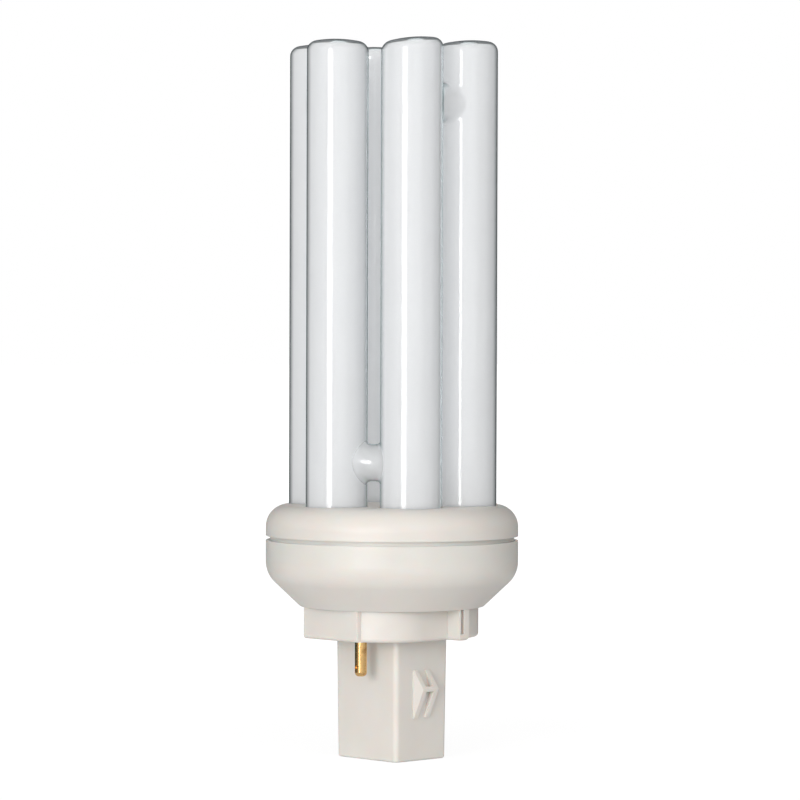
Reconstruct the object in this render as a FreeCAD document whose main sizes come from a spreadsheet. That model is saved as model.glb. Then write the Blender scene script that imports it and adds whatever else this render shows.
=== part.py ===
import FreeCAD, Part
import math
import os

import Sketcher
from FreeCAD import Placement, Rotation, Vector

# Plug-in fluorescent lamp: six glass legs in a ring, a round housing, a collar and a key post.
# Millimetres. The origin is the middle of the post's end face, +Z runs up through the glass,
# and -Y is the side of the collar's slotted rib and the post's chevron key.

doc = FreeCAD.newDocument("plug_in_lamp")
sheet = doc.addObject("Spreadsheet::Sheet", "sizes")

driving_sizes = {
    # levels, from the post's end upwards
    "post_length": 23.3,
    "collar_height": 5.95,
    "shell_height": 12.6,
    "groove_height": 0.85,
    "cover_height": 6.05,
    "exposed_height": 89.0,
    # glass legs
    "leg_radius": 5.85,
    "leg_wall": 0.85,
    "leg_gap": 2.95,
    "leg_depth": 11.2,
    "crown_radius": 24.0,
    "shoulder_radius": 2.0,
    "toe_radius": 2.5,
    # glass bridges between neighbouring legs
    "high_bridge_drop": 12.4,
    "low_bridge_rise": 8.35,
    "neck_radius": 3.2,
    "flare_radius": 4.15,
    "flare_bite": 1.875,
    # sealed ends of the glass inside the housing
    "pinch_width": 7.0,
    "pinch_thickness": 2.6,
    "pinch_length": 4.5,
    "exhaust_radius": 1.7,
    "exhaust_length": 4.0,
    # housing cover
    "cover_rim": 3.75,
    "cover_edge_radius": 4.3,
    "cover_wall": 1.5,
    "groove_depth": 0.8,
    "spigot_wall": 1.3,
    "spigot_length": 3.9,
    "hole_clearance": 0.35,
    "sleeve_wall": 0.8,
    "sleeve_length": 3.0,
    "joint_clearance": 0.05,
    # cement under the cover
    "cement_height": 3.2,
    "cement_web": 2.8,
    # cone-shaped lower shell
    "cone_foot_radius": 17.75,
    "cone_height": 6.15,
    "shell_bend_radius": 5.5,
    "cap_wall": 1.5,
    # collar
    "collar_half_width": 16.1,
    "collar_half_depth": 13.9,
    "collar_corner_radius": 11.0,
    "block_half_width": 16.2,
    "block_half_depth": 7.4,
    "collar_floor": 1.6,
    "collar_rounding": 0.7,
    # slotted rib on the collar
    "rib_offset": 2.6,
    "rib_width": 2.6,
    "rib_reach": 17.1,
    "slot_width": 0.75,
    "slot_offset": 2.18,
    "slot_depth": 1.6,
    "slot_sill": 1.3,
    # key post
    "post_width": 13.45,
    "post_depth": 16.4,
    "post_draft": 0.26,
    "post_corner_radius": 0.95,
    "post_end_rounding": 0.5,
    "post_wall": 1.35,
    "post_floor": 1.5,
    # chevron key on the post
    "key_tail": 2.45,
    "key_pitch": 3.0,
    "key_sweep": 1.5,
    "key_rib_width": 1.05,
    "key_top": 17.35,
    "key_apex": 13.7,
    "key_bottom": 8.25,
    "key_rise": 1.3,
    "key_edge": 0.25,
    "key_bar": 0.95,
    # contact pins
    "pin_offset": 11.48,
    "pin_stagger": 3.5,
    "pin_radius": 1.15,
    "pin_shank_radius": 1.45,
    "pin_bore_radius": 0.6,
    "pin_length": 6.8,
    "pin_tip_wall": 0.9,
    "pin_tip_rounding": 0.7,
    "pin_head_height": 0.5,
    "pin_head_radius": 1.95,
    "dimple_radius": 0.42,
    "dimple_depth": 0.3,
    "dimple_height": 1.8,
    "boss_radius": 2.4,
    "boss_height": 2.4,
    # glow starter in the post
    "starter_clearance": 0.8,
    "bottle_wall": 0.6,
    "bottle_length": 18.0,
    "bottle_rounding": 1.6,
    "bottle_lift": 0.2,
    "wire_radius": 0.35,
    "wire_clearance": 0.02,
    "wire_spacing": 2.6,
    "starter_wire_rise": 4.5,
    "link_drop": 1.2,
    "electrode_drop": 11.0,
    "strip_thickness": 0.3,
    "strip_width": 1.8,
    "strip_drop": 12.5,
    "strip_bend_radius": 0.9,
    "strip_tail": 8.0,
    # suppression capacitor beside the starter
    "capacitor_side_gap": 1.9,
    "capacitor_thickness": 2.4,
    "capacitor_length": 10.0,
    "capacitor_lift": 3.0,
    "capacitor_gap": 0.3,
    "capacitor_rounding": 0.8,
    # lead wires
    "lead_radius": 0.4,
    "lead_bend_radius": 1.2,
    "lead_seat": 0.1,
    "lead_spread": 3.6,
    "lead_rise": 2.6,
    "lead_depth": 3.5,
}

for row, (alias, size) in enumerate(driving_sizes.items(), start=1):
    sheet.set(f"A{row}", alias)
    sheet.set(f"B{row}", str(size))
    sheet.setAlias(f"B{row}", alias)
doc.recompute()

leg_count = 6
leg_pitch = 360.0 / leg_count


def number(expression):
    """The value that an expression on the sheet has now."""
    return float(sheet.evalExpression(expression))


# Places that follow from the sizes, written as expressions on the sheet.
half_pitch = math.radians(leg_pitch / 2)
leg_circle = f"((sizes.leg_radius + sizes.leg_gap / 2) / {math.sin(half_pitch):.9f})"
leg_distance = "(2 * sizes.leg_radius + sizes.leg_gap)"
bridge_circle = f"({leg_circle} * {math.cos(half_pitch):.9f})"
housing_radius = f"({leg_circle} + sizes.leg_radius + sizes.cover_rim)"
spigot_radius = f"({housing_radius} - sizes.groove_depth)"
spigot_bore = f"({spigot_radius} - sizes.spigot_wall)"
post_hollow_width = "(sizes.post_width - 2 * sizes.post_wall)"
post_hollow_depth = "(sizes.post_depth - 2 * sizes.post_wall)"
starter_depth = f"({post_hollow_depth} - 2 * sizes.starter_clearance)"
starter_width = f"({post_hollow_width} - sizes.starter_clearance)"
capacitor_room = "(sizes.capacitor_gap + sizes.capacitor_thickness)"
bottle_radius = f"(min({starter_depth} - {capacitor_room}; {starter_width}) / 2)"
bottle_shift = f"({starter_depth} / 2 - {bottle_radius})"

# Levels along Z.
collar_bottom = "sizes.post_length"
collar_top = f"({collar_bottom} + sizes.collar_height)"
shell_top = f"({collar_top} + sizes.shell_height)"
cover_bottom = f"({shell_top} + sizes.groove_height)"
cover_top = f"({cover_bottom} + sizes.cover_height)"
cover_underside = f"({cover_top} - sizes.cover_wall)"
glass_top = f"({cover_top} + sizes.exposed_height)"
glass_bottom = f"({cover_top} - sizes.leg_depth)"
high_bridge_level = f"({glass_top} - sizes.high_bridge_drop)"
low_bridge_level = f"({cover_top} + sizes.low_bridge_rise)"
spigot_bottom = f"({cover_bottom} - sizes.spigot_length)"
sleeve_bottom = f"({cover_underside} - sizes.sleeve_length)"
collar_floor_top = f"({collar_bottom} + sizes.collar_floor)"
boss_top = f"({collar_floor_top} + sizes.boss_height)"
bottle_bottom = "(sizes.post_floor + sizes.bottle_lift)"
bottle_top = f"({bottle_bottom} + sizes.bottle_length)"
starter_wire_top = f"({bottle_top} + sizes.starter_wire_rise)"
link_level = f"({starter_wire_top} - sizes.link_drop)"
pinch_bottom = f"({glass_bottom} - sizes.pinch_length)"
head_top = f"({boss_top} + sizes.pin_head_height)"


def new_body(name):
    body = doc.addObject("PartDesign::Body", name)
    body.Label = name
    body.AllowCompound = True
    return body


def sketch_on(body, name, role, across="0", up="0", lift="0", turn=0.0):
    """A sketch on one of the body's origin planes, its own origin moved and turned in that plane."""
    plane = next(item for item in body.Origin.OriginFeatures if item.Role == role)
    sketch = body.newObject("Sketcher::SketchObject", name)
    sketch.AttachmentSupport = [(plane, "")]
    sketch.MapMode = "FlatFace"
    place = Vector(number(across), number(up), number(lift))
    sketch.AttachmentOffset = Placement(place, Rotation(Vector(0, 0, 1), turn))
    for direction, expression in (("x", across), ("y", up), ("z", lift)):
        if expression != "0":
            sketch.setExpression(f"AttachmentOffset.Base.{direction}", expression)
    return sketch


def hold(sketch, geometry, end, across, up):
    """Holds an end of a line or arc, or a circle's centre, at two sizes from the sketch's origin."""
    for kind, axis, expression in (("DistanceX", -2, across), ("DistanceY", -1, up)):
        if expression == "0":
            sketch.addConstraint(Sketcher.Constraint("PointOnObject", geometry, end, axis))
            continue
        distance = Sketcher.Constraint(kind, -1, 1, geometry, end, number(expression))
        place = sketch.addConstraint(distance)
        sketch.setExpression(f"Constraints[{place}]", expression)


def end_near(sketch, geometry, point):
    first, last = (sketch.getPoint(geometry, end).distanceToPoint(point) for end in (1, 2))
    return 1 if first < last else 2


def outline(sketch, corners):
    """A closed outline. A corner is (across, up), or (across, up, radius, side) where an arc leads on
    to the next corner and bulges to the left (side 1) or the right (side -1) of the way there."""
    points = [Vector(number(corner[0]), number(corner[1]), 0) for corner in corners]
    first = sketch.GeometryCount
    for index, corner in enumerate(corners):
        start, end = points[index], points[(index + 1) % len(points)]
        if len(corner) == 2:
            sketch.addGeometry(Part.LineSegment(start, end), False)
            continue
        radius, chord = number(corner[2]), end - start
        side = Vector(-chord.y, chord.x, 0).normalize() * corner[3]
        bulge = radius - max(radius**2 - (chord.Length / 2) ** 2, 0) ** 0.5
        sketch.addGeometry(Part.Arc(start, (start + end) / 2 + side * bulge, end), False)
    for index, corner in enumerate(corners):
        here, beyond = index, (index + 1) % len(corners)
        start = end_near(sketch, first + here, points[here])
        join = end_near(sketch, first + beyond, points[beyond])
        sketch.addConstraint(
            Sketcher.Constraint("Coincident", first + here, 3 - start, first + beyond, join)
        )
        hold(sketch, first + here, start, corner[0], corner[1])
        if len(corner) > 2:
            size = Sketcher.Constraint("Radius", first + here, number(corner[2]))
            sketch.setExpression(f"Constraints[{sketch.addConstraint(size)}]", corner[2])


def circle(sketch, across, up, radius):
    centre = Vector(number(across), number(up), 0)
    place = sketch.addGeometry(Part.Circle(centre, Vector(0, 0, 1), number(radius)), False)
    hold(sketch, place, 3, across, up)
    size = Sketcher.Constraint("Radius", place, number(radius))
    sketch.setExpression(f"Constraints[{sketch.addConstraint(size)}]", radius)


def rectangle(sketch, left, bottom, right, top):
    outline(sketch, [(left, bottom), (right, bottom), (right, top), (left, top)])


def feature(body, kind, name, sketch):
    made = body.newObject(f"PartDesign::{kind}", name)
    made.Profile = sketch
    sketch.Visibility = False
    return made


def turned(body, name, sketch, cut=False):
    """The outline turned once round the sketch's upright axis, added to the body or cut out of it."""
    made = feature(body, "Groove" if cut else "Revolution", name, sketch)
    made.ReferenceAxis = (sketch, ["V_Axis"])
    made.Angle = 360.0
    doc.recompute()
    return made


def raised(body, name, sketch, length, down=False, both=False):
    made = feature(body, "Pad", name, sketch)
    made.setExpression("Length", length)
    made.Reversed = down
    made.Midplane = both
    doc.recompute()
    return made


def sunk(body, name, sketch, length, up=False, both=False):
    """A pocket, which runs against the sketch's normal, or along it where up is set."""
    made = feature(body, "Pocket", name, sketch)
    made.setExpression("Length", length)
    made.Reversed = up
    made.Midplane = both
    doc.recompute()
    return made


def repeated(body, name, originals, count, angle=360.0):
    """Copies turned about the body's Z axis, spread from the first over the angle."""
    made = body.newObject("PartDesign::PolarPattern", name)
    made.Originals = originals
    axis = next(item for item in body.Origin.OriginFeatures if item.Role == "Z_Axis")
    made.Axis = (axis, [""])
    made.Angle = angle
    made.Occurrences = count
    body.Tip = made
    doc.recompute()
    return made


def rounded(body, name, radius, chosen):
    """A fillet on the edges of the body's tip for which chosen(edge) is true."""
    tip = body.Tip
    edges = [f"Edge{place}" for place, edge in enumerate(tip.Shape.Edges, start=1) if chosen(edge)]
    if not edges:
        raise ValueError(f"{name}: no edge to round")
    made = body.newObject("PartDesign::Fillet", name)
    made.Base = (tip, edges)
    made.setExpression("Radius", radius)
    doc.recompute()
    return made


def at_level(edge, level):
    return all(abs(vertex.Z - level) < 1e-4 for vertex in edge.Vertexes)


def leg_profile(sketch, inset, top_rise, bottom_rise):
    """Half of a leg's section about its own axis: a crowned top, a round shoulder and a round toe."""
    radius = f"(sizes.leg_radius - {inset})"
    crown = f"(sizes.crown_radius - {inset})"
    shoulder = f"(sizes.shoulder_radius - {inset})"
    toe = f"(sizes.toe_radius - {inset})"
    top = f"({glass_top} - {top_rise})"
    bottom = f"({glass_bottom} + {bottom_rise})"
    flat = f"({radius} - {shoulder})"
    crown_centre = f"({top} - {crown})"
    shoulder_centre = f"({crown_centre} + sqrt(({crown} - {shoulder})^2 - {flat}^2))"
    share = f"({crown} / ({crown} - {shoulder}))"
    outline(
        sketch,
        [
            ("0", bottom),
            (f"({radius} - {toe})", bottom, toe, -1),
            (radius, f"({bottom} + {toe})"),
            (radius, shoulder_centre, shoulder, -1),
            (
                f"({flat} * {share})",
                f"({crown_centre} + ({shoulder_centre} - {crown_centre}) * {share})",
                crown,
                -1,
            ),
            ("0", top),
        ],
    )


def bridge_profile(sketch, inset):
    """Half of a bridge's section about its own axis: a waisted neck that ends inside both legs."""
    end = f"({leg_distance} / 2)"
    flare = f"(sizes.flare_radius - {inset})"
    reach = "(sizes.leg_gap / 2 + sizes.flare_bite)"
    waist = "(sizes.flare_radius - sizes.neck_radius)"
    bow = f"(({reach}^2 + {waist}^2) / (2 * {waist}))"
    outline(
        sketch,
        [
            ("0", f"-{end}"),
            (flare, f"-{end}"),
            (flare, f"-{reach}", bow, 1),
            (flare, reach),
            (flare, end),
            ("0", end),
        ],
    )


def bridge_sketch(body, name, level, mid_angle):
    """Lies level, with its upright axis along the bridge between two neighbouring legs."""
    direction = Rotation(Vector(0, 0, 1), mid_angle).multVec(Vector(1, 0, 0))
    return sketch_on(
        body,
        name,
        "XY_Plane",
        across=f"({bridge_circle} * {direction.x:.9f})",
        up=f"({bridge_circle} * {direction.y:.9f})",
        lift=level,
        turn=mid_angle,
    )


def make_glass_tube():
    """Six legs in a ring. High bridges join them in three pairs, and low bridges join the pairs in a
    row, so that the discharge runs once through all six. The last two ends are pinched shut."""
    body = new_body("glass_tube")
    leg = sketch_on(body, "leg_outline", "XZ_Plane", across=leg_circle)
    leg_profile(leg, "0", "0", "0")
    blank = turned(body, "leg_blank", leg)
    repeated(body, "leg_ring", [blank], leg_count)
    bridges = (
        ("high", high_bridge_level, leg_pitch / 2, 3, 240.0),
        ("low", low_bridge_level, leg_pitch * 3.5, 2, 120.0),
    )
    for name, level, mid_angle, count, spread in bridges:
        sketch = bridge_sketch(body, f"{name}_bridge_outline", level, mid_angle)
        bridge_profile(sketch, "0")
        bridge = turned(body, f"{name}_bridge", sketch)
        repeated(body, f"{name}_bridges", [bridge], count, spread)
    pinch = sketch_on(body, "pinch_outline", "XY_Plane", lift=glass_bottom, turn=leg_pitch)
    rectangle(
        pinch,
        f"({leg_circle} - sizes.pinch_thickness / 2)",
        "-sizes.pinch_width / 2",
        f"({leg_circle} + sizes.pinch_thickness / 2)",
        "sizes.pinch_width / 2",
    )
    pinched = raised(body, "pinch_seal", pinch, "sizes.pinch_length", down=True)
    repeated(body, "pinch_seals", [pinched], 2, leg_pitch)
    exhaust = sketch_on(body, "exhaust_outline", "XY_Plane", lift=glass_bottom)
    circle(exhaust, leg_circle, "0", "sizes.exhaust_radius")
    raised(body, "exhaust_tube", exhaust, "sizes.exhaust_length", down=True)
    bore = sketch_on(body, "bore_outline", "XZ_Plane", across=leg_circle)
    leg_profile(bore, "sizes.leg_wall", "sizes.leg_wall", "sizes.leg_wall")
    bored = turned(body, "leg_bore", bore, cut=True)
    repeated(body, "leg_bores", [bored], leg_count)
    for name, level, mid_angle, count, spread in bridges:
        sketch = bridge_sketch(body, f"{name}_passage_outline", level, mid_angle)
        bridge_profile(sketch, "sizes.leg_wall")
        passage = turned(body, f"{name}_passage", sketch, cut=True)
        repeated(body, f"{name}_passages", [passage], count, spread)
    return body


def make_housing_cover():
    """A round cap with a hole for each leg, a sleeve under each hole and a spigot that plugs into the
    base cap. The groove between cover and shell shows the spigot's outside."""
    body = new_body("housing_cover")
    section = sketch_on(body, "cover_outline", "XZ_Plane")
    outline(
        section,
        [
            ("0", cover_top),
            (
                f"({housing_radius} - sizes.cover_edge_radius)",
                cover_top,
                "sizes.cover_edge_radius",
                1,
            ),
            (housing_radius, f"({cover_top} - sizes.cover_edge_radius)"),
            (housing_radius, cover_bottom),
            (spigot_radius, cover_bottom),
            (spigot_radius, spigot_bottom),
            (spigot_bore, spigot_bottom),
            (spigot_bore, cover_underside),
            ("0", cover_underside),
        ],
    )
    turned(body, "cover_blank", section)
    sleeve = sketch_on(body, "sleeve_outline", "XY_Plane", lift=cover_underside)
    hole_radius = "(sizes.leg_radius + sizes.hole_clearance)"
    circle(sleeve, leg_circle, "0", f"({hole_radius} + sizes.sleeve_wall)")
    raised_sleeve = raised(body, "leg_sleeve", sleeve, "sizes.sleeve_length", down=True)
    repeated(body, "leg_sleeves", [raised_sleeve], leg_count)
    hole = sketch_on(body, "hole_outline", "XY_Plane", lift=cover_top)
    circle(hole, leg_circle, "0", hole_radius)
    drilled = sunk(body, "leg_hole", hole, f"({cover_top} - {sleeve_bottom})")
    repeated(body, "leg_holes", [drilled], leg_count)
    return body


def make_tube_cement():
    """The cement that is cast under the cover's sleeves and grips all six legs."""
    body = new_body("tube_cement")
    disc = sketch_on(body, "cement_outline", "XY_Plane", lift=sleeve_bottom)
    circle(disc, "0", "0", f"({spigot_bore} - sizes.joint_clearance)")
    circle(disc, "0", "0", f"({leg_circle} - sizes.leg_radius - sizes.cement_web)")
    raised(body, "cement_disc", disc, "sizes.cement_height", down=True)
    hole = sketch_on(body, "cement_hole_outline", "XY_Plane", lift=sleeve_bottom)
    circle(hole, leg_circle, "0", "(sizes.leg_radius + sizes.joint_clearance)")
    drilled = sunk(body, "cement_hole", hole, "sizes.cement_height")
    repeated(body, "cement_holes", [drilled], leg_count)
    return body


def soft_rectangle(sketch, half_width, half_depth, corner_radius):
    """A rectangle about the origin whose corners are arcs."""
    flat_x, flat_y = f"({half_width} - {corner_radius})", f"({half_depth} - {corner_radius})"
    outline(
        sketch,
        [
            (f"-{flat_x}", f"-{half_depth}"),
            (flat_x, f"-{half_depth}", corner_radius, -1),
            (half_width, f"-{flat_y}"),
            (half_width, flat_y, corner_radius, -1),
            (flat_x, half_depth),
            (f"-{flat_x}", half_depth, corner_radius, -1),
            (f"-{half_width}", flat_y),
            (f"-{half_width}", f"-{flat_y}", corner_radius, -1),
        ],
    )


def add_shell(body):
    """The cone-shaped lower shell: a foot, a cone, a bend and a rim with a rebate for the spigot."""
    slope = f"(({housing_radius} - sizes.cone_foot_radius) / sizes.cone_height)"
    lean = f"sqrt(1 + {slope}^2)"
    knee = f"({collar_top} + sizes.cone_height)"
    inner_radius = f"({housing_radius} - sizes.cap_wall)"
    rebate_radius = f"({spigot_radius} + sizes.joint_clearance)"
    inner_floor = f"({collar_top} + sizes.cap_wall)"
    inner_foot = f"(sizes.cone_foot_radius + {slope} * sizes.cap_wall - sizes.cap_wall * {lean})"
    inner_knee = (
        f"({collar_top} + (sizes.cap_wall * {lean} - sizes.cap_wall) / {slope} + sizes.cone_height)"
    )
    bend_length = f"(sizes.shell_bend_radius * ({lean} - 1) / {slope})"
    bend_start = (
        f"({housing_radius} - {bend_length} * {slope} / {lean})",
        f"({knee} - {bend_length} / {lean})",
        "sizes.shell_bend_radius",
        -1,
    )
    section = sketch_on(body, "shell_outline", "XZ_Plane")
    outline(
        section,
        [
            ("0", collar_top),
            ("sizes.cone_foot_radius", collar_top),
            bend_start,
            (housing_radius, f"({knee} + {bend_length})"),
            (housing_radius, shell_top),
            (rebate_radius, shell_top),
            (rebate_radius, spigot_bottom),
            (inner_radius, spigot_bottom),
            (inner_radius, inner_knee),
            (inner_foot, inner_floor),
            ("0", inner_floor),
        ],
    )
    turned(body, "shell_blank", section)


def add_collar(body):
    """The collar under the shell: a block with wide round corners, a narrower one across it and two
    slotted ribs."""
    main = sketch_on(body, "collar_outline", "XY_Plane", lift=collar_bottom)
    soft_rectangle(
        main, "sizes.collar_half_width", "sizes.collar_half_depth", "sizes.collar_corner_radius"
    )
    raised(body, "collar", main, "sizes.collar_height")
    block = sketch_on(body, "block_outline", "XY_Plane", lift=collar_bottom)
    rectangle(
        block,
        "-sizes.block_half_width",
        "-sizes.block_half_depth",
        "sizes.block_half_width",
        "sizes.block_half_depth",
    )
    raised(body, "collar_block", block, "sizes.collar_height")
    rib = sketch_on(body, "rib_outline", "XY_Plane", lift=collar_bottom)
    rectangle(
        rib,
        "(sizes.rib_offset - sizes.rib_width / 2)",
        "-sizes.rib_reach",
        "(sizes.rib_offset + sizes.rib_width / 2)",
        "-(sizes.collar_half_depth - sizes.cap_wall / 2)",
    )
    rib_pad = raised(body, "collar_rib", rib, "sizes.collar_height")
    repeated(body, "collar_ribs", [rib_pad], 2)
    bottom, block_end = number(collar_bottom), number("sizes.block_half_depth")

    def lower_edge(edge):
        # the block's short ends stay sharp, where they run into the collar's round corners
        return at_level(edge, bottom) and abs(abs(edge.CenterOfMass.y) - block_end) > 1e-4

    rounded(body, "collar_edge", "sizes.collar_rounding", lower_edge)
    slot = sketch_on(body, "slot_outline", "XY_Plane", lift=collar_top)
    rectangle(
        slot,
        "(sizes.slot_offset - sizes.slot_width / 2)",
        "-(sizes.rib_reach + sizes.slot_width)",
        "(sizes.slot_offset + sizes.slot_width / 2)",
        "-(sizes.rib_reach - sizes.slot_depth)",
    )
    slot_cut = sunk(body, "rib_slot", slot, "(sizes.collar_height - sizes.slot_sill)")
    repeated(body, "rib_slots", [slot_cut], 2)


def post_section(body, name, level, width, depth):
    sketch = sketch_on(body, name, "XY_Plane", lift=level)
    rectangle(sketch, f"-{width} / 2", f"-{depth} / 2", f"{width} / 2", f"{depth} / 2")
    return sketch


def add_post(body):
    """The key post, a little narrower at its end than at its root."""
    foot = post_section(body, "post_end", "0", "sizes.post_width", "sizes.post_depth")
    root = post_section(
        body,
        "post_root",
        f"({collar_bottom} + sizes.collar_floor / 2)",
        "(sizes.post_width + 2 * sizes.post_draft)",
        "(sizes.post_depth + 2 * sizes.post_draft)",
    )
    post = body.newObject("PartDesign::AdditiveLoft", "post")
    post.Profile = foot
    post.Sections = [root]
    post.Ruled = True
    doc.recompute()
    middle = number(collar_bottom) / 2

    def upright(edge):
        bounds = edge.BoundBox
        return bounds.ZMin < 1e-4 and bounds.ZMax > middle

    rounded(body, "post_corners", "sizes.post_corner_radius", upright)
    rounded(body, "post_end_edge", "sizes.post_end_rounding", lambda edge: at_level(edge, 0))


def add_hollow(body):
    """The cavity of the collar and the post, open to the shell above, and the two pin bosses."""
    shell_floor = f"({collar_top} + sizes.cap_wall)"
    cavity = sketch_on(body, "collar_cavity_outline", "XY_Plane", lift=shell_floor)
    soft_rectangle(
        cavity,
        "(sizes.collar_half_width - sizes.cap_wall)",
        "(sizes.collar_half_depth - sizes.cap_wall)",
        "(sizes.collar_corner_radius - sizes.cap_wall)",
    )
    sunk(body, "collar_cavity", cavity, f"({shell_floor} - {collar_floor_top})")
    floor = post_section(
        body, "post_cavity_floor", "sizes.post_floor", post_hollow_width, post_hollow_depth
    )
    mouth = post_section(
        body,
        "post_cavity_mouth",
        collar_floor_top,
        f"({post_hollow_width} + 2 * sizes.post_draft)",
        f"({post_hollow_depth} + 2 * sizes.post_draft)",
    )
    hollow = body.newObject("PartDesign::SubtractiveLoft", "post_cavity")
    hollow.Profile = floor
    hollow.Sections = [mouth]
    hollow.Ruled = True
    doc.recompute()
    boss = sketch_on(body, "boss_outline", "XY_Plane", lift=collar_floor_top)
    circle(boss, "-sizes.pin_offset", "-sizes.pin_stagger", "sizes.boss_radius")
    boss_pad = raised(body, "pin_boss", boss, "sizes.boss_height")
    repeated(body, "pin_bosses", [boss_pad], 2)
    hole = sketch_on(body, "pin_hole_outline", "XY_Plane", lift=boss_top)
    circle(
        hole,
        "-sizes.pin_offset",
        "-sizes.pin_stagger",
        "(sizes.pin_shank_radius + sizes.joint_clearance)",
    )
    hole_cut = sunk(body, "pin_hole", hole, f"({boss_top} - {collar_bottom})")
    repeated(body, "pin_holes", [hole_cut], 2)


def chevron(sketch, tail, filled):
    """A chevron that points along +X, seen square to the post's front: a V rib, or a filled one."""
    apex = f"({tail} + sizes.key_sweep)"
    tail_outside = f"({tail} + sizes.key_rib_width)"
    corners = [
        (tail, "sizes.key_bottom"),
        (tail_outside, "sizes.key_bottom"),
        (f"({apex} + sizes.key_rib_width)", "sizes.key_apex"),
        (tail_outside, "sizes.key_top"),
        (tail, "sizes.key_top"),
    ]
    if not filled:
        corners.append((apex, "sizes.key_apex"))
    outline(sketch, corners)


def add_key(body):
    """A double chevron on the post's front and back. It is highest at the apex line and runs out
    towards its ends, and the first chevron is a ramp up from its straight edge."""
    surface = "(sizes.post_depth / 2)"
    face = f"({surface} + sizes.post_draft)"
    root = f"({surface} - sizes.post_wall / 2)"
    first_tail = "(-sizes.key_tail)"
    second_tail = f"({first_tail} + sizes.key_pitch)"
    length = f"({face} + sizes.key_rise - {root})"
    pads = []
    for name, tail, filled in (("first", first_tail, True), ("second", second_tail, False)):
        sketch = sketch_on(body, f"{name}_chevron_outline", "XZ_Plane", lift=root)
        chevron(sketch, tail, filled)
        pads.append(raised(body, f"{name}_chevron", sketch, length))
    bar = sketch_on(body, "chevron_bar_outline", "XZ_Plane", lift=root)
    rectangle(
        bar,
        f"({first_tail} + sizes.key_sweep)",
        "(sizes.key_apex - sizes.key_bar / 2)",
        f"({second_tail} + sizes.key_sweep + sizes.key_rib_width / 2)",
        "(sizes.key_apex + sizes.key_bar / 2)",
    )
    pads.append(raised(body, "chevron_bar", bar, length))
    crest = f"-({face} + sizes.key_rise)"
    low_edge = f"-({face} + sizes.key_edge)"
    clear = f"-({face} + 2 * sizes.key_rise)"
    slopes = sketch_on(body, "key_slope_outline", "YZ_Plane")
    for end in ("sizes.key_top", "sizes.key_bottom"):
        corners = [(crest, "sizes.key_apex"), (low_edge, end), (clear, end), (clear, "sizes.key_apex")]
        outline(slopes, corners)
    span = "2 * (sizes.key_tail + sizes.key_pitch + sizes.key_sweep + sizes.key_rib_width)"
    pads.append(sunk(body, "key_slopes", slopes, span, both=True))
    ramp = sketch_on(body, "key_ramp_outline", "XY_Plane", lift="sizes.key_apex")
    apex = f"({first_tail} + sizes.key_sweep)"
    outline(ramp, [(first_tail, low_edge), (apex, crest), (apex, clear), (first_tail, clear)])
    ramp_height = "2 * (sizes.key_top - sizes.key_bottom)"
    pads.append(sunk(body, "key_ramp", ramp, ramp_height, both=True))
    repeated(body, "keys", pads, 2)


def make_base_cap():
    body = new_body("base_cap")
    add_shell(body)
    add_collar(body)
    add_post(body)
    add_hollow(body)
    add_key(body)
    return body


def make_contact_pin(name, turn):
    """A hollow brass pin with a flanged head on its boss, a rounded tip and a crimp dimple."""
    body = new_body(name)
    radius, tip = "sizes.pin_radius", f"({collar_bottom} - sizes.pin_length)"
    section = sketch_on(
        body, f"{name}_outline", "XZ_Plane", across="-sizes.pin_offset", lift="sizes.pin_stagger"
    )
    outline(
        section,
        [
            ("0", tip),
            (f"({radius} - sizes.pin_tip_rounding)", tip, "sizes.pin_tip_rounding", -1),
            (radius, f"({tip} + sizes.pin_tip_rounding)"),
            (radius, collar_bottom),
            ("sizes.pin_shank_radius", collar_bottom),
            ("sizes.pin_shank_radius", boss_top),
            ("sizes.pin_head_radius", boss_top),
            ("sizes.pin_head_radius", head_top),
            ("sizes.pin_bore_radius", head_top),
            ("sizes.pin_bore_radius", f"({tip} + sizes.pin_tip_wall)"),
            ("0", f"({tip} + sizes.pin_tip_wall)"),
        ],
    )
    turned(body, f"{name}_blank", section)
    side = f"-(sizes.pin_offset + {radius})"
    dimple = sketch_on(body, f"{name}_dimple_outline", "YZ_Plane", lift=side)
    circle(dimple, "-sizes.pin_stagger", f"({tip} + sizes.dimple_height)", "sizes.dimple_radius")
    sunk(body, f"{name}_dimple", dimple, "sizes.dimple_depth", up=True)
    body.Placement = Placement(Vector(), Rotation(Vector(0, 0, 1), turn))
    return body


def make_starter_bottle():
    """The glow starter's glass bottle. Two wires come in through its top."""
    body = new_body("starter_bottle")
    for inset, skin in (("0", "outside"), ("sizes.bottle_wall", "inside")):
        radius = f"({bottle_radius} - {inset})"
        rounding = f"(sizes.bottle_rounding - {inset})"
        low = f"({bottle_bottom} + {inset})"
        high = f"({bottle_top} - {inset})"
        section = sketch_on(body, f"bottle_{skin}_outline", "XZ_Plane", lift=bottle_shift)
        outline(
            section,
            [
                ("0", low),
                (f"({radius} - {rounding})", low, rounding, -1),
                (radius, f"({low} + {rounding})"),
                (radius, f"({high} - {rounding})", rounding, -1),
                (f"({radius} - {rounding})", high),
                ("0", high),
            ],
        )
        turned(body, f"bottle_{skin}", section, cut=skin == "inside")
    holes = sketch_on(body, "bottle_hole_outline", "XY_Plane", lift=bottle_top)
    for side in ("-", ""):
        circle(
            holes,
            f"({side}sizes.wire_spacing / 2)",
            f"-{bottle_shift}",
            "(sizes.wire_radius + sizes.wire_clearance)",
        )
    sunk(body, "bottle_holes", holes, "2 * sizes.bottle_wall")
    return body


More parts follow.
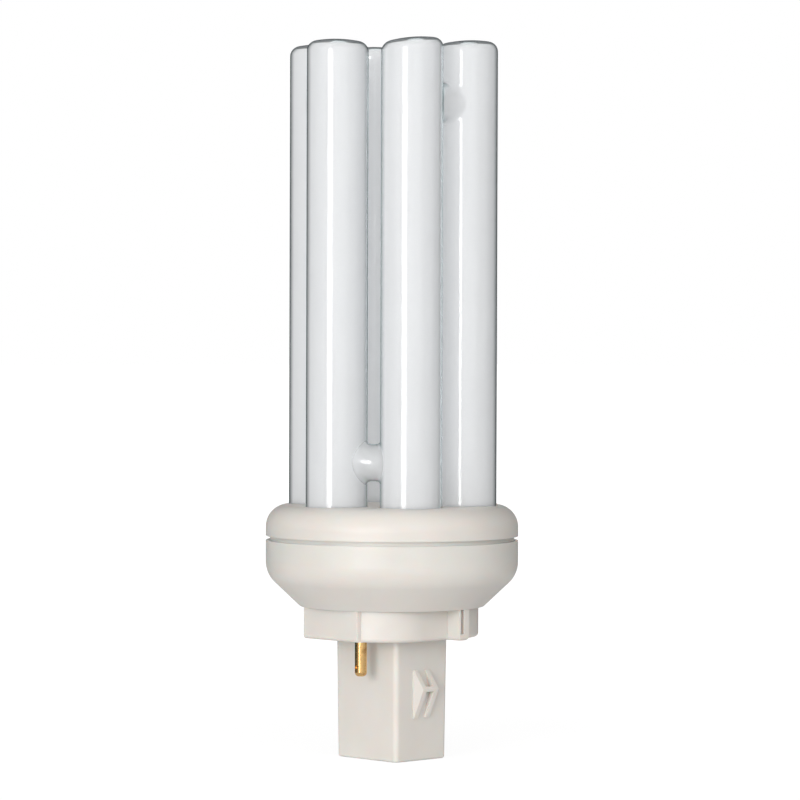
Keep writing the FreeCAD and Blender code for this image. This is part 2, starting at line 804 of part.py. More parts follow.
def make_starter_electrode():
    """A straight wire that hangs into the bottle beside the bimetal."""
    body = new_body("starter_electrode")
    tip = f"({bottle_top} - sizes.electrode_drop)"
    wire = sketch_on(body, "electrode_outline", "XY_Plane", lift=tip)
    circle(wire, "sizes.wire_spacing / 2", f"-{bottle_shift}", "sizes.wire_radius")
    raised(body, "electrode_wire", wire, "(sizes.electrode_drop + sizes.starter_wire_rise)")
    return body


def make_starter_bimetal():
    """A bimetal strip bent into a hook, which bends over to the electrode as it warms."""
    body = new_body("starter_bimetal")
    fold = "sizes.strip_bend_radius"
    thick = "sizes.strip_thickness"
    left = f"(-sizes.wire_spacing / 2 - sizes.wire_radius - {thick} / 2)"
    low = f"({bottle_top} - sizes.strip_drop)"
    right = f"({left} + 2 * ({fold} + {thick}))"
    wire_bottom = f"({bottle_top} - sizes.strip_drop + sizes.strip_tail)"
    middle = f"({left} + {fold} + {thick})"
    bend_level = f"({low} + {fold} + {thick})"
    tail_top = f"({low} + sizes.strip_tail)"
    strip_top = f"({bottle_top} - 2 * sizes.bottle_wall)"
    hook = sketch_on(body, "bimetal_outline", "XZ_Plane", lift=bottle_shift)
    outline(
        hook,
        [
            (left, bend_level, f"({fold} + {thick})", -1),
            (middle, low, f"({fold} + {thick})", -1),
            (right, bend_level),
            (right, tail_top),
            (f"({right} - {thick})", tail_top),
            (f"({right} - {thick})", bend_level, fold, 1),
            (middle, f"({low} + {thick})", fold, 1),
            (f"({left} + {thick})", bend_level),
            (f"({left} + {thick})", strip_top),
            (left, strip_top),
        ],
    )
    raised(body, "bimetal_strip", hook, "sizes.strip_width", both=True)
    wire = sketch_on(body, "bimetal_wire_outline", "XY_Plane", lift=wire_bottom)
    circle(wire, "-sizes.wire_spacing / 2", f"-{bottle_shift}", "sizes.wire_radius")
    raised(body, "bimetal_wire", wire, f"({starter_wire_top} - {wire_bottom})")
    return body


def make_suppression_capacitor():
    """A dipped block that stands beside the bottle, with two wires up to the starter's wires."""
    body = new_body("suppression_capacitor")
    front = f"({bottle_radius} - {bottle_shift} + sizes.capacitor_gap)"
    half_width = f"({post_hollow_width} / 2 - sizes.capacitor_side_gap)"
    foot = "(sizes.post_floor + sizes.capacitor_lift)"
    block = sketch_on(body, "capacitor_outline", "XY_Plane", lift=foot)
    rectangle(
        block,
        f"-{half_width}",
        front,
        half_width,
        f"({front} + sizes.capacitor_thickness)",
    )
    raised(body, "capacitor_block", block, "sizes.capacitor_length")
    rounded(body, "capacitor_edges", "sizes.capacitor_rounding", lambda edge: True)
    wire_foot = f"({foot} + sizes.capacitor_length / 2)"
    middle = f"({front} + sizes.capacitor_thickness / 2)"
    wires = sketch_on(body, "capacitor_wire_outline", "XY_Plane", lift=wire_foot)
    links = sketch_on(body, "capacitor_link_outline", "XZ_Plane", lift=f"-{middle}")
    for side in ("-", ""):
        across = f"({side}sizes.wire_spacing / 2)"
        circle(wires, across, middle, "sizes.wire_radius")
        circle(links, across, link_level, "sizes.wire_radius")
    raised(body, "capacitor_wires", wires, f"({link_level} - {wire_foot})")
    seat = "(sizes.wire_radius + sizes.wire_clearance)"
    raised(body, "capacitor_links", links, f"({middle} + {bottle_shift} - {seat})")
    return body


def make_lead(name, points):
    """A round wire through the points, with an arc at each turn."""
    bend = number("sizes.lead_bend_radius")
    start = points[0]
    edges = []
    for before, corner, after in zip(points, points[1:], points[2:]):
        inward, outward = (corner - before).normalize(), (after - corner).normalize()
        half_turn = inward.getAngle(outward) / 2
        reach = bend * math.tan(half_turn)
        arc_start, arc_end = corner - inward * reach, corner + outward * reach
        towards_centre = (outward - inward).normalize()
        arc_middle = corner + towards_centre * (bend / math.cos(half_turn) - bend)
        edges.append(Part.LineSegment(start, arc_start).toShape())
        edges.append(Part.Arc(arc_start, arc_middle, arc_end).toShape())
        start = arc_end
    edges.append(Part.LineSegment(start, points[-1]).toShape())
    circle_edge = Part.makeCircle(number("sizes.lead_radius"), points[0], points[1] - points[0])
    lead = doc.addObject("Part::Feature", name)
    lead.Label = name
    lead.Shape = Part.Wire(edges).makePipeShell([Part.Wire([circle_edge])], True, True)
    return lead


def make_leads():
    """Two wires come out of each pinch seal: the outer one runs to a pin, the inner one down to a
    wire of the starter."""
    leads = []
    seal_level = number(pinch_bottom)
    shelf_level = number(f"({collar_top} + sizes.cap_wall + sizes.lead_radius + sizes.lead_seat)")
    for side, label, seal_angle in ((-1, "left", 2 * leg_pitch), (1, "right", leg_pitch)):
        turn = Rotation(Vector(0, 0, 1), seal_angle)
        half_spread = number("sizes.lead_spread") / 2
        ring = number(leg_circle)
        outer = turn.multVec(Vector(ring, -side * half_spread, 0))
        inner = turn.multVec(Vector(ring, side * half_spread, 0))
        pin = Vector(number("sizes.pin_offset"), number("sizes.pin_stagger"), 0) * side
        wire = Vector(side * number("sizes.wire_spacing") / 2, -number(bottle_shift), 0)
        pin_end = number(f"({head_top} - sizes.lead_depth)")
        crossing = number(f"({head_top} + sizes.lead_rise)")
        for goal, start, end, foot in (
            ("pin", outer, pin, pin_end),
            ("starter", inner, wire, number(starter_wire_top)),
        ):
            route = [
                start + Vector(0, 0, seal_level),
                start + Vector(0, 0, shelf_level),
                end + Vector(0, 0, crossing),
                end + Vector(0, 0, foot),
            ]
            leads.append(make_lead(f"lead_{goal}_{label}", route))
    return leads


sub_parts = [
    make_glass_tube(),
    make_housing_cover(),
    make_tube_cement(),
    make_base_cap(),
    make_contact_pin("contact_pin_left", 0.0),
    make_contact_pin("contact_pin_right", 180.0),
    make_starter_bottle(),
    make_starter_electrode(),
    make_starter_bimetal(),
    make_suppression_capacitor(),
    *make_leads(),
]
doc.recompute()

for item in doc.Objects:
    if {"Invalid", "Error"} & set(item.State):
        raise RuntimeError(f"{item.Name}: {item.State}")
os.makedirs("parts", exist_ok=True)
for sub_part in sub_parts:
    shape = sub_part.Shape
    if shape.isNull() or not shape.isValid():
        raise RuntimeError(f"{sub_part.Label}: shape is not valid")
    box = shape.optimalBoundingBox(False, False)
    print(sub_part.Label, len(shape.Solids), round(shape.Volume, 1), box)
    shape.exportStep(f"parts/{sub_part.Label}.step")
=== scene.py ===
import math

import bmesh
import bpy
import numpy as np
from mathutils import Matrix, Vector


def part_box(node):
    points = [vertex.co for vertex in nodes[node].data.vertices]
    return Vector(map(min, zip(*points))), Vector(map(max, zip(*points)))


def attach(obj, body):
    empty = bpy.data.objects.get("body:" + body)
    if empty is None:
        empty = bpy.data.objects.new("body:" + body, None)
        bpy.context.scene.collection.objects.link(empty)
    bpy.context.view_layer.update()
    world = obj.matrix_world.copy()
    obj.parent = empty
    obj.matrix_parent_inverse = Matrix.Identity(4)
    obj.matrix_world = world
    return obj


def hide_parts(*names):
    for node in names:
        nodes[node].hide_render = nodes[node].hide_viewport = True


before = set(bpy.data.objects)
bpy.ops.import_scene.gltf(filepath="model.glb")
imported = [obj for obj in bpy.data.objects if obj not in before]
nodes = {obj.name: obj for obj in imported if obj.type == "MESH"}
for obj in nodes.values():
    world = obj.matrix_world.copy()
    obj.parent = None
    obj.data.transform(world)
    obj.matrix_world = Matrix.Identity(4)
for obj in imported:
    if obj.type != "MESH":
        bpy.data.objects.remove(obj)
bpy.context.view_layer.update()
scene = bpy.context.scene
scene.view_settings.view_transform = "Standard"
print("frame loaded:", len(nodes), "nodes")

mm = 0.001                                     # every size below is written in millimetres


# An sRGB hex colour as the linear colour that a shader takes.
def linear(hexCode):
    srgb = np.array([int(hexCode[place:place + 2], 16) for place in (1, 3, 5)]) / 255
    values = np.where(srgb <= 0.04045, srgb / 12.92, ((srgb + 0.055) / 1.055) ** 2.4)
    return (*values.tolist(), 1.0)


# Adds a node, sets its options and socket values, and links other sockets into it.
def addNode(tree, kind, values=None, links=None, **settings):
    node = tree.nodes.new(kind)
    for option, choice in settings.items():
        setattr(node, option, choice)
    for socket, value in (values or {}).items():
        node.inputs[socket].default_value = value
    for socket, source in (links or {}).items():
        tree.links.new(source, node.inputs[socket])
    return node


def newMaterial(name):
    material = bpy.data.materials.new(name)
    material.use_nodes = True
    material.node_tree.nodes.clear()
    return material, material.node_tree


def finishMaterial(tree, surface):
    addNode(tree, "ShaderNodeOutputMaterial", links={"Surface": surface})


# Materials

plasticLook = {
    "colour": "#DDDAD4",
    "shade": "#D7D0C9",
    "roughness": 0.4,
    "soft": 0.5,                               # share of its colour that comes from light inside the plastic
    "depth": 2.0,                              # mm that such light goes
    "reach": (1.0, 0.5, 0.35),                 # how far red, green and blue go, in shares of that depth
    "cloud": 9.0,                              # mm, slow changes of tone where the melt cooled
    "grain": 0.25,                             # mm, the mould's spark-eroded grain, drawn coarser than real
    "grainHeight": 0.1,                        # mm
    "bump": 0.03,
}


# PBT, injection moulded: off-white, satin, with a fine eroded grain and a faint warm cloud.
def makePlastic():
    material, tree = newMaterial("mouldedPbt")
    place = addNode(tree, "ShaderNodeTexCoord").outputs["Object"]
    cloud = addNode(tree, "ShaderNodeTexNoise", {"Scale": 1 / (plasticLook["cloud"] * mm), "Detail": 2.0},
                    {"Vector": place})
    tone = addNode(tree, "ShaderNodeMix",
                   {"A": linear(plasticLook["shade"]), "B": linear(plasticLook["colour"])},
                   {"Factor": cloud.outputs["Fac"]}, data_type="RGBA")
    grain = addNode(tree, "ShaderNodeTexNoise", {"Scale": 1 / (plasticLook["grain"] * mm), "Detail": 1.0},
                    {"Vector": place})
    relief = addNode(tree, "ShaderNodeBump",
                     {"Strength": plasticLook["bump"], "Distance": plasticLook["grainHeight"] * mm},
                     {"Height": grain.outputs["Fac"]})
    surface = addNode(tree, "ShaderNodeBsdfPrincipled",
                      {"Roughness": plasticLook["roughness"], "IOR": 1.5,
                       "Subsurface Weight": plasticLook["soft"], "Subsurface Radius": plasticLook["reach"],
                       "Subsurface Scale": plasticLook["depth"] * mm},
                      {"Base Color": tone.outputs["Result"], "Normal": relief.outputs["Normal"]})
    finishMaterial(tree, surface.outputs["BSDF"])
    return material


# Lets a share of the light on its way to other surfaces come through this one. The camera and reflections
# see the surface whole.
def lettingThrough(tree, surface, share, colour="#FFFFFF"):
    clear = addNode(tree, "ShaderNodeBsdfTransparent", {"Color": linear(colour)})
    path = addNode(tree, "ShaderNodeLightPath").outputs
    onward = addNode(tree, "ShaderNodeMath", links={0: path["Is Shadow Ray"], 1: path["Is Diffuse Ray"]},
                     operation="MAXIMUM")
    part = addNode(tree, "ShaderNodeMath", {1: share}, {0: onward.outputs[0]}, operation="MULTIPLY")
    both = addNode(tree, "ShaderNodeMixShader",
                   links={0: part.outputs[0], 1: surface, 2: clear.outputs["BSDF"]})
    return both.outputs["Shader"]


# Soda-lime glass: clear, smooth, IOR 1.5. Lamps shine through it on to what lies behind.
def makeClearGlass(name, colour):
    material, tree = newMaterial(name)
    glass = addNode(tree, "ShaderNodeBsdfPrincipled",
                    {"Base Color": linear(colour), "Roughness": 0.0, "IOR": 1.5, "Transmission Weight": 1.0})
    finishMaterial(tree, lettingThrough(tree, glass.outputs["BSDF"], 1.0, colour))
    return material


coatLook = {
    "colour": "#F4F6FA",
    "thin": "#EEF1F6",
    "cloud": 14.0,                             # mm, slow changes in the coat's thickness
    "powder": 0.3,                             # mm, clots of phosphor powder
    "powderRoughness": 0.9, "powderGloss": 0.1,
    "glassRoughness": 0.02,
    "spread": 2.0,                             # mm that light spreads inside the tube, through thin powder
    "glowThrough": 0.3,                        # share of its light that comes from the tube's inside
    "passes": 0.88,                            # share of light that the thin powder on one wall lets through
    "edge": "#D0DCDE", "edgeRoughness": 0.05,  # the glass wall seen edge on
    # How side on that edge begins and is full, 1 being quite side on, and its share there. The closed tops
    # have their own, because the glass is thicker there.
    "wallEdge": (0.44, 0.9, 0.92), "crownEdge": (0.12, 0.5, 0.7),
}


# The colour of phosphor powder: very white and a little uneven in thickness.
def powderTone(tree):
    place = addNode(tree, "ShaderNodeTexCoord").outputs["Object"]
    cloud = addNode(tree, "ShaderNodeTexNoise", {"Scale": 1 / (coatLook["cloud"] * mm), "Detail": 3.0},
                    {"Vector": place})
    powder = addNode(tree, "ShaderNodeTexNoise", {"Scale": 1 / (coatLook["powder"] * mm), "Detail": 1.0},
                     {"Vector": place})
    even = addNode(tree, "ShaderNodeMath", links={0: cloud.outputs["Fac"], 1: powder.outputs["Fac"]},
                   operation="MULTIPLY")
    tone = addNode(tree, "ShaderNodeMix", {"A": linear(coatLook["colour"]), "B": linear(coatLook["thin"])},
                   {"Factor": even.outputs[0]}, data_type="RGBA")
    return tone.outputs["Result"]


# Phosphor powder by itself, which shows through the necks of the low bridges: matt, very white.
def makeCoat():
    material, tree = newMaterial("phosphorPowder")
    surface = addNode(tree, "ShaderNodeBsdfPrincipled",
                      {"Roughness": coatLook["powderRoughness"],
                       "Specular IOR Level": coatLook["powderGloss"]},
                      {"Base Color": powderTone(tree)})
    finishMaterial(tree, lettingThrough(tree, surface.outputs["BSDF"], coatLook["passes"]))
    return material


# Soda-lime glass with the powder baked on its inside: a sharp gloss over soft white, and the wall shows
# as a thin grey line where it is seen edge on. Clearness is the share of the glass that has no powder.
def makeCoatedGlass(name, clearness, edgeFrom, edgeTo, edgeShare):
    material, tree = newMaterial(name)
    tone = powderTone(tree)
    white = addNode(tree, "ShaderNodeBsdfPrincipled",
                    {"Roughness": coatLook["glassRoughness"], "IOR": 1.52, "Subsurface Weight": 1.0,
                     "Subsurface Radius": (1.0, 1.0, 1.0), "Subsurface Scale": coatLook["spread"] * mm},
                    {"Base Color": tone})
    clear = addNode(tree, "ShaderNodeBsdfPrincipled",
                    {"Roughness": coatLook["glassRoughness"], "IOR": 1.5, "Transmission Weight": 1.0})
    inside = addNode(tree, "ShaderNodeBsdfTranslucent", links={"Color": tone})
    body = addNode(tree, "ShaderNodeMixShader", {0: coatLook["glowThrough"]},
                   {1: white.outputs["BSDF"], 2: inside.outputs["BSDF"]})
    thinned = addNode(tree, "ShaderNodeMixShader", {0: clearness},
                      {1: body.outputs["Shader"], 2: clear.outputs["BSDF"]})
    wall = addNode(tree, "ShaderNodeBsdfGlossy",
                   {"Color": linear(coatLook["edge"]), "Roughness": coatLook["edgeRoughness"]})
    facing = addNode(tree, "ShaderNodeLayerWeight", {"Blend": 0.5}).outputs["Facing"]
    edge = addNode(tree, "ShaderNodeMapRange",
                   {"From Min": edgeFrom, "From Max": edgeTo, "To Max": edgeShare},
                   {"Value": facing}, interpolation_type="SMOOTHSTEP")
    both = addNode(tree, "ShaderNodeMixShader",
                   links={0: edge.outputs["Result"], 1: thinned.outputs["Shader"], 2: wall.outputs["BSDF"]})
    finishMaterial(tree, lettingThrough(tree, both.outputs["Shader"], coatLook["passes"]))
    return material


brassLook = {
    "colour": "#E3B97C",
    "dull": "#B98A52",
    "roughness": (0.1, 0.26),                  # where it is clean, and where it is tarnished
    "line": 0.08,                              # mm, fine drawing lines along the pin
    "lineStretch": 0.15,                       # scale that draws them out round the pin
    "lineHeight": 0.05,                        # mm
    "bump": 0.25,
    "stain": 1.6,                              # mm, spots of tarnish
    "stainFrom": 0.5, "stainTo": 0.75,         # levels of the noise where tarnish begins and is full
}


# Brass, drawn into a thin tube and polished: yellow metal with fine lines round it and some tarnish.
def makeBrass():
    material, tree = newMaterial("drawnBrass")
    place = addNode(tree, "ShaderNodeTexCoord").outputs["Object"]
    stretch = addNode(tree, "ShaderNodeMapping",
                      {"Scale": (brassLook["lineStretch"], brassLook["lineStretch"], 1.0)}, {"Vector": place})
    lines = addNode(tree, "ShaderNodeTexNoise", {"Scale": 1 / (brassLook["line"] * mm), "Detail": 1.0},
                    {"Vector": stretch.outputs["Vector"]})
    stain = addNode(tree, "ShaderNodeTexNoise", {"Scale": 1 / (brassLook["stain"] * mm), "Detail": 3.0},
                    {"Vector": place})
    spots = addNode(tree, "ShaderNodeMapRange",
                    {"From Min": brassLook["stainFrom"], "From Max": brassLook["stainTo"]},
                    {"Value": stain.outputs["Fac"]})
    tone = addNode(tree, "ShaderNodeMix", {"A": linear(brassLook["colour"]), "B": linear(brassLook["dull"])},
                   {"Factor": spots.outputs["Result"]}, data_type="RGBA")
    rough = addNode(tree, "ShaderNodeMapRange",
                    {"To Min": brassLook["roughness"][0], "To Max": brassLook["roughness"][1]},
                    {"Value": stain.outputs["Fac"]})
    relief = addNode(tree, "ShaderNodeBump",
                     {"Strength": brassLook["bump"], "Distance": brassLook["lineHeight"] * mm},
                     {"Height": lines.outputs["Fac"]})
    surface = addNode(tree, "ShaderNodeBsdfPrincipled", {"Metallic": 1.0},
                      {"Base Color": tone.outputs["Result"], "Roughness": rough.outputs["Result"],
                       "Normal": relief.outputs["Normal"]})
    finishMaterial(tree, surface.outputs["BSDF"])
    return material


# A plain inner material: two tones in specks of one size in mm, with a little relief.
def makeSpeckled(name, light, dark, size, roughness, metallic=0.0, bump=0.2, height=0.1):
    material, tree = newMaterial(name)
    place = addNode(tree, "ShaderNodeTexCoord").outputs["Object"]
    specks = addNode(tree, "ShaderNodeTexNoise", {"Scale": 1 / (size * mm), "Detail": 3.0}, {"Vector": place})
    tone = addNode(tree, "ShaderNodeMix", {"A": linear(dark), "B": linear(light)},
                   {"Factor": specks.outputs["Fac"]}, data_type="RGBA")
    relief = addNode(tree, "ShaderNodeBump", {"Strength": bump, "Distance": height * mm},
                     {"Height": specks.outputs["Fac"]})
    surface = addNode(tree, "ShaderNodeBsdfPrincipled", {"Roughness": roughness, "Metallic": metallic},
                      {"Base Color": tone.outputs["Result"], "Normal": relief.outputs["Normal"]})
    finishMaterial(tree, surface.outputs["BSDF"])
    return material


plastic = makePlastic()
stubGlass = makeClearGlass("sodaLimeGlass", "#FCFDFD")
coatedGlass = makeCoatedGlass("coatedSodaLimeGlass", 0.0, *coatLook["wallEdge"])
bridgeGlass = makeCoatedGlass("thinlyCoatedGlass", 0.5, *coatLook["wallEdge"])
crownGlass = makeCoatedGlass("thickCoatedGlass", 0.0, *coatLook["crownEdge"])
coat = makeCoat()
brass = makeBrass()
innerLooks = {
    # matt and sandy, a warm grey
    "tube_cement": makeSpeckled("castCement", "#CFCABF", "#B3ADA0", 0.8, 0.85),
    "starter_bottle": makeClearGlass("starterGlass", "#F2F6F4"),
    # grey metal, smooth and a little dull
    "starter_electrode": makeSpeckled("nickelWire", "#B9B7B2", "#9C9A96", 0.3, 0.3, 1.0, 0.05),
    # glossy brown, uneven from the dipping
    "suppression_capacitor": makeSpeckled("dippedResin", "#B0602C", "#97491F", 1.2, 0.3),
}
wireNodes = ["starter_bimetal", "lead_pin_left", "lead_pin_right", "lead_starter_left", "lead_starter_right"]
nodeLooks = {
    "housing_cover": plastic, "base_cap": plastic,
    "contact_pin_left": brass, "contact_pin_right": brass, **innerLooks,
    **{name: innerLooks["starter_electrode"] for name in wireNodes},
}
for name, look in nodeLooks.items():
    nodes[name].data.materials.clear()
    nodes[name].data.materials.append(look)
print("materials made:", len(bpy.data.materials))


# Glass tube

tubeShape = {
    "legRadius": 5.85, "wall": 0.85, "ringRadius": 14.65, "legCount": 6,
    "crownRadius": 24.0, "shoulderRadius": 2.0, "toeRadius": 2.5,
    "highBridgeDrop": 12.4, "lowBridgeRise": 8.35, "legDepth": 11.2,
    "neckRadius": 3.5,
    "footAcross": 4.2, "footUp": 4.4,          # where the flare runs out on the leg, beside and above a neck
    "tiltDepth": 6.0, "tiltFade": 5.0,         # how far below the top its slant begins, and how long it grows
    "coatSink": 0.02,                          # how far the coat lies in the glass, on to which it is baked
    "columns": 72,                             # points round a leg
    "patchCells": 20, "patchHeight": 10.0,     # the square hole in a leg's grid where a bridge begins
}
# Points along each part of a leg's profile, and along a bridge from the patch's rim to its foot and its neck.
rowCounts = {"toe": 6, "below": 5, "between": 14, "above": 4, "shoulder": 9, "crown": 9,
             "foot": 5, "neck": 11}
slotCoated, slotClear, slotNeck, slotCrown = range(4)   # places in the glass tube's list of materials
# For each leg: how much lower its top is in mm, the top's slope, and the side in degrees that is high.
legTops = {0: (0.3, 0.01, 90), 1: (0.2, 0.03, 200), 2: (0.5, 0.012, 30), 3: (0.47, 0.017, 135),
           4: (0.0, 0.076, -45), 5: (0.12, 0.036, -45)}
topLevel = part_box("glass_tube")[1].z / mm
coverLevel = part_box("housing_cover")[1].z / mm
legBottom = coverLevel - tubeShape["legDepth"]
highLevel = topLevel - tubeShape["highBridgeDrop"]
lowLevel = coverLevel + tubeShape["lowBridgeRise"]
highBridges = [(leg, (leg + 1) % tubeShape["legCount"], highLevel) for leg in (0, 2, 4)]
lowBridges = [(leg, (leg + 1) % tubeShape["legCount"], lowLevel) for leg in (3, 5)]


# Points on an arc; the angles are in degrees from straight up, turning outwards.
def arc(centreAcross, centreUp, radius, start, end, count):
    turn = np.radians(np.linspace(start, end, count))
    return np.stack([centreAcross + radius * np.sin(turn), centreUp + radius * np.cos(turn)], axis=1)


# A leg's half section from the middle of its bottom to the middle of its top, set in by inset: a flat
# foot, a toe arc, the straight wall, a shoulder arc and the crown, whose arcs keep their centres.
def legProfile(inset):
    radius, toe = tubeShape["legRadius"], tubeShape["toeRadius"]
    shoulder, crown = tubeShape["shoulderRadius"], tubeShape["crownRadius"]
    crownCentre = topLevel - crown
    reach = radius - shoulder
    shoulderCentre = crownCentre + math.sqrt((crown - shoulder) ** 2 - reach ** 2)
    lean = math.degrees(math.atan2(reach, shoulderCentre - crownCentre))
    wallStart, wallEnd = legBottom + toe, shoulderCentre
    half = tubeShape["patchHeight"] / 2
    rungs = tubeShape["patchCells"] + 1
    levels = np.concatenate([
        np.linspace(wallStart, lowLevel - half, rowCounts["below"])[1:-1],
        np.linspace(lowLevel - half, lowLevel + half, rungs),
        np.linspace(lowLevel + half, highLevel - half, rowCounts["between"])[1:-1],
        np.linspace(highLevel - half, highLevel + half, rungs),
        np.linspace(highLevel + half, wallEnd, rowCounts["above"])[1:-1],
    ])
    wall = np.stack([np.full(len(levels), radius - inset), levels], axis=1)
    foot = np.array([[0.0, legBottom + inset], [(radius - toe) / 2, legBottom + inset]])
    return np.concatenate([
        foot, arc(radius - toe, legBottom + toe, toe - inset, 180, 90, rowCounts["toe"]), wall,
        arc(reach, shoulderCentre, shoulder - inset, 90, lean, rowCounts["shoulder"]),
        arc(0.0, crownCentre, crown - inset, lean, 0, rowCounts["crown"])[1:],
    ])


def legAxis(leg):
    turn = math.radians(leg * 360 / tubeShape["legCount"])
    return tubeShape["ringRadius"] * np.array([math.cos(turn), math.sin(turn), 0.0])


# Slants a leg's top, which was closed by hand in a flame. A point's rise is the slope times its way to the
# high side, less the leg's drop, and it grows from nothing in a smooth step over the last few millimetres.
def tiltTop(points, leg):
    lower, slope, side = legTops[leg]
    direction = np.array([math.cos(math.radians(side)), math.sin(math.radians(side)), 0.0])
    fade = np.clip((points[:, 2] - (topLevel - tubeShape["tiltDepth"])) / tubeShape["tiltFade"], 0, 1)
    fade = fade * fade * (3 - 2 * fade)
    across = (points - legAxis(leg)) @ direction
    lifted = points.copy()
    lifted[:, 2] += fade * (slope * (across - tubeShape["legRadius"]) - lower)
    return lifted


# Quads of a grid that closes on itself along its columns.
def gridFaces(rows, columns, keep=None):
    row, column = np.meshgrid(np.arange(rows - 1), np.arange(columns), indexing="ij")
    beyond = (column + 1) % columns
    quads = np.stack([row * columns + column, row * columns + beyond,
                      (row + 1) * columns + beyond, (row + 1) * columns + column], axis=-1)
    return quads[keep] if keep is not None else quads.reshape(-1, 4)


# One leg turned from its profile, without the cells that a bridge's patch takes the place of.
def legSkin(leg, inset, joined):
    profile = legProfile(inset)
    columns, cells = tubeShape["columns"], tubeShape["patchCells"]
    turn = np.arange(columns) * 2 * math.pi / columns
    ring = np.stack([np.cos(turn), np.sin(turn)], axis=1)
    points = np.zeros((len(profile), columns, 3))
    points[:, :, :2] = profile[:, None, :1] * ring[None] + legAxis(leg)[:2]
    points[:, :, 2] = profile[:, None, 1]
    keep = np.ones((len(profile) - 1, columns), bool)
    for other, level in joined:
        towards = legAxis(other) - legAxis(leg)
        middle = round(math.degrees(math.atan2(towards[1], towards[0])) / 360 * columns)
        taken = (middle - cells // 2 + np.arange(cells)) % columns
        height = (profile[:-1, 1] + profile[1:, 1]) / 2
        rows = np.abs(height - level) < tubeShape["patchHeight"] / 2
        keep[np.ix_(rows, taken)] = False
    quads = gridFaces(len(profile), columns, keep)
    crownRows = rowCounts["crown"] - 1 + (rowCounts["shoulder"] + 1) // 2   # from half way up the shoulder
    onCrown = np.nonzero(keep)[0] >= len(profile) - crownRows
    return tiltTop(points.reshape(-1, 3), leg), quads, np.where(onCrown, slotCrown, slotCoated)


# Half of a bridge, from the square hole in the leg's grid to the neck half way to the other leg. The rows
# run over the leg's wall to an oval foot, and then along a quadratic curve that leaves the wall and meets
# the neck without a bend.
def bridgeHalf(leg, other, level, inset):
    cells, columns = tubeShape["patchCells"], tubeShape["columns"]
    towards = legAxis(other) - legAxis(leg)
    apart = np.linalg.norm(towards)
    along = towards / apart
    beside = np.array([-along[1], along[0], 0.0])
    side = np.linspace(-1, 1, cells + 1)[:-1]
    ones = np.ones(cells)
    square = np.concatenate([np.stack([side, ones], 1), np.stack([ones, -side], 1),
                             np.stack([-side, -ones], 1), np.stack([-ones, side], 1)])
    spread = math.pi / columns * cells         # half of the angle that the square takes on the leg
    edgeTurn, edgeRise = square[:, 0] * spread, square[:, 1] * tubeShape["patchHeight"] / 2
    heading = np.arctan2(tubeShape["legRadius"] * np.sin(edgeTurn), edgeRise)
    footReach = 1 / np.hypot(np.sin(heading) / tubeShape["footAcross"], np.cos(heading) / tubeShape["footUp"])
    footTurn = np.arcsin(footReach * np.sin(heading) / tubeShape["legRadius"])
    footRise = footReach * np.cos(heading)
    radius = tubeShape["legRadius"] - inset
    neck = tubeShape["neckRadius"] - inset
    share = np.linspace(0, 1, rowCounts["foot"])[:, None]
    turn, rise = edgeTurn + (footTurn - edgeTurn) * share, edgeRise + (footRise - edgeRise) * share
    wallRows = (legAxis(leg) + radius * (np.cos(turn)[..., None] * along + np.sin(turn)[..., None] * beside)
                + (rise[..., None] + level) * np.array([0, 0, 1.0]))
    footSide = radius * np.sin(footTurn)
    reach = np.hypot(footSide, footRise)
    heading = np.arctan2(footSide, footRise)
    footAlong = radius * np.cos(footTurn)
    slope = footSide * np.sin(heading) / footAlong
    gap = apart / 2 - footAlong                # from the middle plane back to the foot
    bend = gap - (reach - neck) * slope
    step = np.linspace(0, 1, rowCounts["neck"])[1:, None]
    back = (1 - step) ** 2 * gap + 2 * step * (1 - step) * bend
    out = (1 - step) ** 2 * reach + 2 * step * (1 - step) * neck + step ** 2 * neck
    neckRows = (legAxis(leg) + (apart / 2 - back)[..., None] * along
                + (out * np.sin(heading))[..., None] * beside
                + (out * np.cos(heading) + level)[..., None] * np.array([0, 0, 1.0]))
    points = np.concatenate([wallRows, neckRows])
    quads = gridFaces(points.shape[0], points.shape[1])
    onNeck = np.arange(len(quads)) // points.shape[1] >= len(wallRows)
    return points.reshape(-1, 3), quads, np.where(onNeck & (level == lowLevel), slotNeck, slotCoated)


# The whole folded tube's skin, set in from the outside by inset: six legs and their bridges.
def tubeSkin(inset, joints):
    parts = []
    for leg in range(tubeShape["legCount"]):
        joined = [(second if first == leg else first, level) for first, second, level in joints
                  if leg in (first, second)]
        parts.append(legSkin(leg, inset, joined))
        parts.extend(bridgeHalf(leg, other, level, inset) for other, level in joined)
    return parts


weldDistance = 0.0002                          # mm, nearer points than this become one


# One mesh from closed parts, each (points in mm, quads, material numbers). A part listed in inwards has its
# faces turned to the hollow that it encloses. A piece with one material has it all over.
def addPiece(name, parts, materials, inwards=()):
    whole = bmesh.new()
    for index, (points, quads, kinds) in enumerate(parts):
        mesh = bpy.data.meshes.new("part")
        mesh.from_pydata((points * mm).tolist(), [], quads.tolist())
        mesh.polygons.foreach_set("material_index", np.minimum(kinds, len(materials) - 1))
        piece = bmesh.new()
        piece.from_mesh(mesh)
        bmesh.ops.remove_doubles(piece, verts=piece.verts, dist=weldDistance * mm)
        bmesh.ops.dissolve_degenerate(piece, edges=piece.edges, dist=weldDistance * mm)
        bmesh.ops.recalc_face_normals(piece, faces=piece.faces)
        if index in inwards:
            bmesh.ops.reverse_faces(piece, faces=piece.faces)
        piece.to_mesh(mesh)
        piece.free()
        whole.from_mesh(mesh)
        bpy.data.meshes.remove(mesh)
    mesh = bpy.data.meshes.new(name)
    whole.to_mesh(mesh)
    whole.free()
    mesh.shade_smooth()
    for material in materials:
        mesh.materials.append(material)
    piece = bpy.data.objects.new(name, mesh)
    scene.collection.objects.link(piece)
    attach(piece, "root")
    return piece


